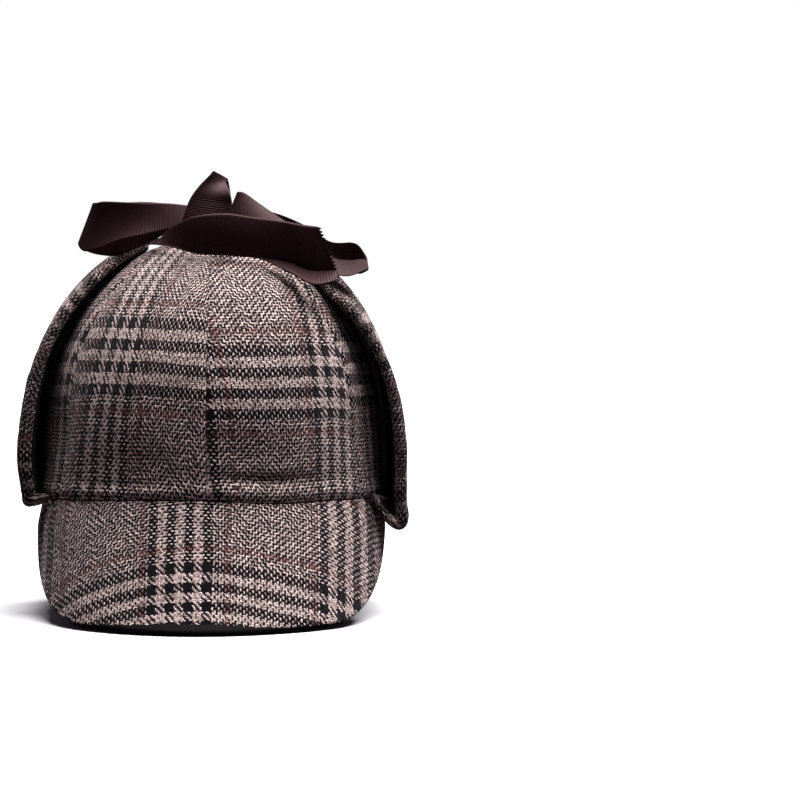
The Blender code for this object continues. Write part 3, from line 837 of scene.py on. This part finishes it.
def ear_flap(side_name):
    """A flap from its seam under the rim, round the fold and up the crown's side."""
    name, rows = f"ear_flap_{side_name}", FLAPS[side_name]
    side, drop = FLAP_SIDE[side_name], FLAP_FOLD_DROP[side_name]
    _, stand_off, half_width, front, back, wall = rows[0]
    base_reach = RIM_HALF_WIDTH + stand_off + wall / 2
    path = [(FLAP_ROOT_REACH, -FLAP_ROOT_DROP, FLAP_ROOT_HALF_WIDTH, FLAP_ROOT_WRAP,
             FLAP_ROOT_WRAP, FLAP_ROOT_WALL, 1, 0)]
    places = (FLAP_ROOT_REACH, (FLAP_ROOT_REACH + base_reach) / 2, base_reach)
    for place, (swell, share, narrower, more_front, more_back, fold_wall) in zip(
            places, FLAP_FOLD):
        path.append((place + swell, -drop * share, half_width - narrower, front + more_front,
                     back + more_back, fold_wall, 1, 0))
    first, last = 0.003 - drop * 0.1, rows[-1][0]
    table = np.array(rows)
    for step in range(FLAP_ROWS):
        length = first + (last - first) * (step / (FLAP_ROWS - 1)) ** 0.92
        place, outward = side_profile(length)
        stand_off, half_width, wrap_front, wrap_back, wall = (
            np.interp(length, table[:, 0], table[:, column]) for column in range(1, 6))
        middle = place + outward * (stand_off + wall / 2)
        path.append((*middle, half_width, wrap_front, wrap_back, wall, *outward))
    path = smooth_rows(path, FLAP_STEPS)
    across = 2 * graded(FLAP_COLUMNS)[None, :] - 1
    reach, level, half_width, wrap_front, wrap_back, wall, out_x, out_z = (
        path[:, number:number + 1] for number in range(8))
    lean = np.where(across * side < 0, wrap_front, wrap_back) * across ** 2
    by_root = np.exp(-np.arange(len(path)) / FLAP_ROOT_ROWS)[:, None]
    rise = FLAP_ROOT_RISE[side_name] * by_root * across ** 2
    low_down = np.clip(1 - level / FLAP_CORNER_HEIGHT, 0, 1)
    rise = rise + FLAP_CORNER_RISE[side_name] * low_down * across ** 6
    dip = RIM_DIP * np.maximum(0, 1 - level / FLAP_DIP_HEIGHT)
    points = np.stack([
        side * (reach - out_x * lean),
        side * across * half_width,
        RIM_HEIGHT + level - out_z * lean - dip + rise,
    ], axis=-1)
    steps = np.linalg.norm(np.diff(points[:, FLAP_COLUMNS // 2], axis=0), axis=1)
    v = np.concatenate([[0], np.cumsum(steps)])[:, None] + 0 * across
    # The yarns go on round the edge, so they are counted along its arc there.
    inside = np.clip(half_width * (1 - np.abs(across)) / FLAP_EDGE_RADIUS, 0, 1)
    u = np.sign(across) * (half_width - FLAP_EDGE_RADIUS + np.where(
        inside < 1, FLAP_EDGE_RADIUS * np.arcsin(1 - inside),
        np.abs(across) * half_width - half_width + FLAP_EDGE_RADIUS))
    threads = np.stack([FLAP_START[0] + u * 1000 / WARP_PITCH,
                        v * 1000 / FLAP_WEFT_PITCH + FLAP_START[1]], axis=-1)
    rim = np.sign(across) * (half_width - FLAP_EDGE_RADIUS * (1 - math.pi / 2))
    edge_thread = FLAP_START[0] + rim * 1000 / WARP_PITCH
    wall = wall + 0 * across
    lumps = [noise.noise(Vector(point) * LUMP_SCALE) for point in points.reshape(-1, 3)]
    wall = wall * (1 + FLAP_LUMPS * np.array(lumps).reshape(wall.shape))
    thickest = float(wall.max())
    # Painted shade on the light yarns along the round edge and the root, with flecks where the
    # light yarns still show.
    from_side = half_width * (1 - np.abs(across)) / FLAP_EDGE_RADIUS
    flecks = [noise.noise(Vector(point) * FLECK_SCALE) for point in points.reshape(-1, 3)]
    painted_rim_shade = np.maximum(np.clip((1.1 - from_side) / 0.3, 0, 1), np.clip(3 * by_root, 0, 1))
    painted_rim_shade = painted_rim_shade * np.clip(0.9 - 1.6 * np.array(flecks).reshape(wall.shape), 0, 1)
    piece = new_sheet(f"{name}_cloth", points, threads, wall=wall / thickest,
                      edge_thread=edge_thread, painted_rim_shade=painted_rim_shade)
    # The flap's inner face is black lining, which paints the shade in the gap between flap and
    # crown.
    make_real(piece, cloth_wall, Wall=thickest, Edge_Radius=FLAP_EDGE_RADIUS,
              Turned_In=FLAP_TURNED_IN[side_name], Face=tweed, Back=black_lining_and_shade)
    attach(piece, "root")
    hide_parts(name)


for side_name in FLAPS:
    ear_flap(side_name)


# Button: a small domed button covered in the same tweed, over the point where the gores meet.
BUTTON_RADIUS = 0.0095
BUTTON_HEIGHT = 0.0034
BUTTON_UNDERSIDE = 0.0004
BUTTON_LEVEL = RIM_HEIGHT + CROWN_HEIGHT + 0.0012
BUTTON_SIDES = 40
BUTTON_YARN = 60
YARNS_PER_METRE = 1300

shares = np.linspace(0, 1, 13)
profile = [(BUTTON_RADIUS * math.sin(t * math.pi / 2),
            BUTTON_HEIGHT * math.cos(t * math.pi / 2)) for t in shares]
profile += [(BUTTON_RADIUS * (1 - t), -BUTTON_UNDERSIDE * math.sin(t * math.pi / 2))
            for t in shares[1:]]
around = [2 * math.pi * number / BUTTON_SIDES for number in range(BUTTON_SIDES)]
button_points = [(0, 0, BUTTON_LEVEL + profile[0][1])]
button_points += [(radius * math.cos(turn), radius * math.sin(turn), BUTTON_LEVEL + level)
                  for radius, level in profile[1:-1] for turn in around]
button_points.append((0, 0, BUTTON_LEVEL + profile[-1][1]))
last = len(button_points) - 1
button_faces = [(0, 1 + n, 1 + (n + 1) % BUTTON_SIDES) for n in range(BUTTON_SIDES)]
for ring in range(len(profile) - 3):
    start = 1 + ring * BUTTON_SIDES
    for n in range(BUTTON_SIDES):
        a, b = start + n, start + (n + 1) % BUTTON_SIDES
        button_faces.append((a, a + BUTTON_SIDES, b + BUTTON_SIDES, b))
start = 1 + (len(profile) - 3) * BUTTON_SIDES
button_faces += [(last, start + (n + 1) % BUTTON_SIDES, start + n) for n in range(BUTTON_SIDES)]
button_mesh = bpy.data.meshes.new("crown_button_cloth")
button_mesh.from_pydata(button_points, [], button_faces)
button_uv = button_mesh.uv_layers.new(name="threads")
for loop in button_mesh.loops:
    x, y, z = button_points[loop.vertex_index]
    button_uv.data[loop.index].uv = (BUTTON_YARN + x * YARNS_PER_METRE,
                                     BUTTON_YARN + y * YARNS_PER_METRE)
button_mesh.materials.append(tweed)
button_mesh.shade_smooth()
button = bpy.data.objects.new("crown_button_cloth", button_mesh)
bpy.context.scene.collection.objects.link(button)
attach(button, "root")
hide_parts("crown_button")


# Ribbon: dark brown grosgrain, 25 mm wide, with a cord-like rib across it every 1.2 mm. One
# ribbon is sewn to each flap's tip, and the two are tied in a bow over the button.
RIBBON_WIDTH = 0.025
RIBBON_WALL = 0.0007
RIBBON_EDGE_RADIUS = 0.0006
RIBBON_DARK = (0.014, 0.0050, 0.0056, 1)
RIBBON_LIGHT = (0.025, 0.0095, 0.0105, 1)
RIBBON_PATCHES = 60         # scales of the shading, and of the silk's grain
RIBBON_GRAIN = 2500
RIBBON_GRAIN_DEPTH = 0.0002
RIB_PITCH = 0.0012
RIB_HEIGHT = 0.00026

ribbon_cloth, tree, shader = new_material("brown_grosgrain")
patch = noise_at(own_place(tree), RIBBON_PATCHES, 3)
grain = noise_at(own_place(tree), RIBBON_GRAIN, 2)
finish_with(shader, Base_Color=blend_colors(patch, RIBBON_DARK, RIBBON_LIGHT), Roughness=0.5,
            Specular_IOR_Level=0.25, Specular_Tint=(1.0, 0.50, 0.54, 1),
            Normal=relief_of(grain, strength=0.25, depth=RIBBON_GRAIN_DEPTH),
            Sheen_Weight=0.05, Sheen_Roughness=0.35, Sheen_Tint=(0.85, 0.50, 0.54, 1))

# Rows along each ribbon: its lower edge, its upper edge, and how far its middle bulges. An
# eighth number is how much of the lower edge is turned over.
RIBBONS = {
    "ribbon_tail_front": (
        (-0.0325, -0.0105, 0.1838, -0.0320, -0.0030, 0.1862, 0.0, 0.0),
        (-0.0300, -0.0220, 0.1838, -0.0285, -0.0160, 0.1866, 0.0, 0.0),
        (-0.0262, -0.0330, 0.1834, -0.0250, -0.0290, 0.1868, 0.0, 0.0),
        (-0.0205, -0.0410, 0.1826, -0.0200, -0.0375, 0.1912, 0.0, 0.0),
        (-0.0140, -0.0468, 0.1808, -0.0140, -0.0450, 0.1942, 0.0, 0.0),
        (-0.0050, -0.0510, 0.1785, -0.0055, -0.0512, 0.1970, 0.0010, 0.0),
        (0.0090, -0.0520, 0.1780, 0.0080, -0.0532, 0.1980, 0.0015, 0.0),
        (0.0240, -0.0505, 0.1765, 0.0210, -0.0522, 0.1963, 0.0015, 0.0010),
        (0.0380, -0.0495, 0.1742, 0.0350, -0.0512, 0.1945, 0.0010, 0.0090),
        (0.0500, -0.0510, 0.1700, 0.0460, -0.0520, 0.1925, 0.0010, 0.0125),
        (0.0630, -0.0520, 0.1702, 0.0545, -0.0525, 0.1915, 0.0, 0.0085),
    ),
    "ribbon_loop_left": (
        (-0.0112, -0.0245, 0.1937, -0.0112, -0.0190, 0.2030, 0.0, 0.0),
        (-0.0210, -0.0275, 0.1914, -0.0220, -0.0225, 0.2040, 0.0, 0.0020),
        (-0.0330, -0.0290, 0.1886, -0.0330, -0.0240, 0.2040, 0.0010, 0.0062),
        (-0.0460, -0.0285, 0.1856, -0.0440, -0.0250, 0.2045, 0.0015, 0.0085),
        (-0.0560, -0.0270, 0.1818, -0.0535, -0.0245, 0.2048, 0.0015, 0.0040),
        (-0.0635, -0.0225, 0.1808, -0.0575, -0.0215, 0.2042, 0.0010, 0.0),
        (-0.0665, -0.0170, 0.1845, -0.0590, -0.0155, 0.2045, 0.0, 0.0),
        (-0.0620, -0.0120, 0.1855, -0.0540, -0.0115, 0.2045, 0.0, 0.0),
        (-0.0460, -0.0110, 0.1890, -0.0420, -0.0095, 0.2050, 0.0, 0.0),
        (-0.0300, -0.0100, 0.1925, -0.0300, -0.0085, 0.2050, 0.0, 0.0),
        (-0.0112, -0.0120, 0.1940, -0.0112, -0.0100, 0.2030, 0.0, 0.0),
    ),
    "ribbon_loop_top": (
        (-0.0150, -0.0310, 0.1925, 0.0060, -0.0320, 0.1895, 0.0010),
        (-0.0135, -0.0305, 0.1980, 0.0085, -0.0314, 0.1950, 0.0015),
        (-0.0105, -0.0293, 0.2060, 0.0103, -0.0301, 0.2030, 0.0020),
        (-0.0060, -0.0275, 0.2125, 0.0093, -0.0284, 0.2090, 0.0020),
        (-0.0010, -0.0250, 0.2178, 0.0072, -0.0165, 0.2145, 0.0010),
        (0.0006, -0.0208, 0.2200, 0.0076, -0.0065, 0.2165, 0.0),
        (0.0000, -0.0165, 0.2172, 0.0082, -0.0020, 0.2130, 0.0),
        (-0.0062, -0.0150, 0.2110, 0.0088, -0.0020, 0.2090, 0.0),
        (-0.0100, -0.0155, 0.2045, 0.0088, -0.0050, 0.2045, 0.0),
    ),
    "ribbon_loop_right": (
        (0.0065, -0.0350, 0.1940, 0.0130, -0.0300, 0.2095, 0.0),
        (0.0160, -0.0325, 0.1900, 0.0165, -0.0240, 0.2090, 0.0010),
        (0.0280, -0.0310, 0.1850, 0.0235, -0.0190, 0.2040, 0.0015),
        (0.0400, -0.0330, 0.1785, 0.0345, -0.0180, 0.1965, 0.0015),
        (0.0510, -0.0385, 0.1730, 0.0480, -0.0215, 0.1882, 0.0010),
        (0.0610, -0.0410, 0.1685, 0.0600, -0.0235, 0.1772, 0.0010),
        (0.0680, -0.0390, 0.1676, 0.0680, -0.0200, 0.1756, 0.0010),
        (0.0740, -0.0330, 0.1696, 0.0740, -0.0195, 0.1761, 0.0),
        (0.0776, -0.0255, 0.1712, 0.0772, -0.0170, 0.1764, 0.0),
        (0.0768, -0.0165, 0.1700, 0.0752, -0.0160, 0.1808, 0.0),
        (0.0715, -0.0060, 0.1695, 0.0708, -0.0140, 0.1846, 0.0),
        (0.0580, 0.0010, 0.1775, 0.0590, -0.0125, 0.1852, 0.0),
        (0.0460, 0.0050, 0.1858, 0.0460, -0.0100, 0.1935, 0.0),
        (0.0320, 0.0045, 0.1900, 0.0300, -0.0085, 0.2000, 0.0),
        (0.0125, -0.0020, 0.1945, 0.0120, -0.0100, 0.2030, 0.0),
    ),
    "ribbon_tie_right": (
        (0.0470, -0.0050, 0.1835, 0.0470, 0.0180, 0.1830, 0.0),
        (0.0340, -0.0045, 0.1870, 0.0340, 0.0165, 0.1870, 0.0),
        (0.0220, -0.0040, 0.1905, 0.0220, 0.0140, 0.1905, 0.0),
        (0.0105, -0.0040, 0.1935, 0.0105, 0.0080, 0.1935, 0.0),
    ),
    "ribbon_tail_back": (
        (-0.0085, -0.0062, 0.1985, 0.0045, -0.0062, 0.1985, 0.0),
        (-0.0120, 0.0060, 0.1955, 0.0070, 0.0080, 0.1955, 0.0),
        (-0.0170, 0.0240, 0.1890, 0.0070, 0.0280, 0.1895, 0.0),
        (-0.0210, 0.0420, 0.1815, 0.0030, 0.0460, 0.1825, 0.0),
        (-0.0240, 0.0590, 0.1715, 0.0000, 0.0630, 0.1735, 0.0),
        (-0.0260, 0.0720, 0.1605, -0.0030, 0.0740, 0.1650, 0.0),
    ),
}
TURNED_OVER_TO = {"ribbon_tail_front": (0.1, -0.80, -0.58), "ribbon_loop_left": (0, 0.45, -0.89)}
PINKED = ("ribbon_tail_front", "ribbon_tail_back")      # cut in saw teeth at the end
TEETH = 13
TOOTH_DEPTH = 0.0016
TOOTH_ROOM = 0.004          # the length of ribbon that the cut shortens
ROWS_BETWEEN = 40
ROWS_PER_RIB = 5
RIBBON_COLUMNS = 17
TURNED_COLUMNS = 7
TURNED_LEAST = 0.0008
TURNED_SHARE = 0.3


def ribbon(name, rows):
    """A ribbon along its rows, with its ribs, its turned-over edge and its cut end."""
    dense = smooth_rows(rows, ROWS_BETWEEN)
    low, high, bulge = dense[:, 0:3], dense[:, 3:6], dense[:, 6]
    middle = (low + high) / 2
    walked = np.concatenate([[0], np.cumsum(np.linalg.norm(np.diff(middle, axis=0), axis=1))])
    count = int(walked[-1] / RIB_PITCH * ROWS_PER_RIB)
    at = np.linspace(0, walked[-1], count + 1)
    low = np.stack([np.interp(at, walked, low[:, axis]) for axis in range(3)], axis=1)
    high = np.stack([np.interp(at, walked, high[:, axis]) for axis in range(3)], axis=1)
    bulge = np.interp(at, walked, bulge)
    along = np.gradient(low + high, axis=0)
    outward = np.cross(along, high - low)
    outward /= np.linalg.norm(outward, axis=1, keepdims=True)
    share = np.linspace(0, 1, 2 * TEETH + 1) if name in PINKED else graded(RIBBON_COLUMNS)
    points = (low[:, None] * (1 - share)[None, :, None] + high[:, None] * share[None, :, None]
              + outward[:, None] * (bulge[:, None] * 4 * share * (1 - share))[..., None])
    if name in TURNED_OVER_TO:
        under = np.linspace(1, 0, TURNED_COLUMNS + 1)[:-1]
        turned = np.maximum(np.interp(at, walked, dense[:, 7]), TURNED_LEAST)[:, None, None]
        turned = low[:, None] + turned * under[:, None] * np.array(TURNED_OVER_TO[name])
        points = np.concatenate([turned, points], axis=1)
        share = np.concatenate([-TURNED_SHARE * under, share])
    if name in PINKED:
        tooth = np.abs((share * TEETH) % 1 * 2 - 1)
        near_end = np.clip(1 - (at[-1] - at) / TOOTH_ROOM, 0, 1)[:, None] * tooth
        forward = along / np.linalg.norm(along, axis=1, keepdims=True)
        points = points - forward[:, None] * (near_end * TOOTH_DEPTH)[..., None]
    length_along = at[:, None] + 0 * share
    threads = np.stack([share * (RIBBON_WIDTH * 1000) + 0 * at[:, None], length_along * 1000],
                       axis=-1)
    piece = new_sheet(f"{name}_cloth", points, threads, along=length_along)
    make_real(piece, cloth_wall, Wall=RIBBON_WALL, Edge_Radius=RIBBON_EDGE_RADIUS,
              Rib_Height=RIB_HEIGHT, Rib_Pitch=RIB_PITCH, Face=ribbon_cloth, Back=ribbon_cloth)
    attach(piece, "root")
    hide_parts(name)


for name, rows in RIBBONS.items():
    ribbon(name, rows)


# Knot: the ribbon wound once round the crossing, pulled tight over the button.
KNOT_PLACE = (0.0, -0.0150, 0.1982)
KNOT_HALF_SIZE = (0.0095, 0.0080, 0.0058)
KNOT_WALL = 0.0010
KNOT_INSET = 0.0006         # the sheet lies that far inside the knot's surface
KNOT_PINCH = 0.12
KNOT_CORNERS = 0.8          # 1 is round, and less is squarer
KNOT_RADIUS = 0.0068        # counts the ribs round it
KNOT_SIDES = 120
KNOT_COLUMNS = 17
KNOT_HALF_COUNT = 10


def squarish(wave):
    return np.sign(wave) * np.abs(wave) ** KNOT_CORNERS


around = np.linspace(0, 2 * math.pi, KNOT_SIDES + 1)[:, None]
across = 2 * graded(KNOT_COLUMNS)[None, :] - 1
pinch = 1 - KNOT_PINCH * across ** 4
points = np.stack([
    KNOT_PLACE[0] + across * KNOT_HALF_SIZE[0] + 0 * around,
    KNOT_PLACE[1] + squarish(np.cos(around)) * (KNOT_HALF_SIZE[1] - KNOT_INSET) * pinch,
    KNOT_PLACE[2] + squarish(np.sin(around)) * (KNOT_HALF_SIZE[2] - KNOT_INSET) * pinch,
], axis=-1)
length_along = around * KNOT_RADIUS + 0 * across
threads = np.stack([across * KNOT_HALF_COUNT + 0 * around, length_along * 1000], axis=-1)
knot = new_sheet("ribbon_knot_cloth", points, threads, along=length_along)
make_real(knot, cloth_wall, Wall=KNOT_WALL, Edge_Radius=RIBBON_EDGE_RADIUS,
          Rib_Height=RIB_HEIGHT, Rib_Pitch=RIB_PITCH, Face=ribbon_cloth, Back=ribbon_cloth)
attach(knot, "root")
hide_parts("ribbon_knot")
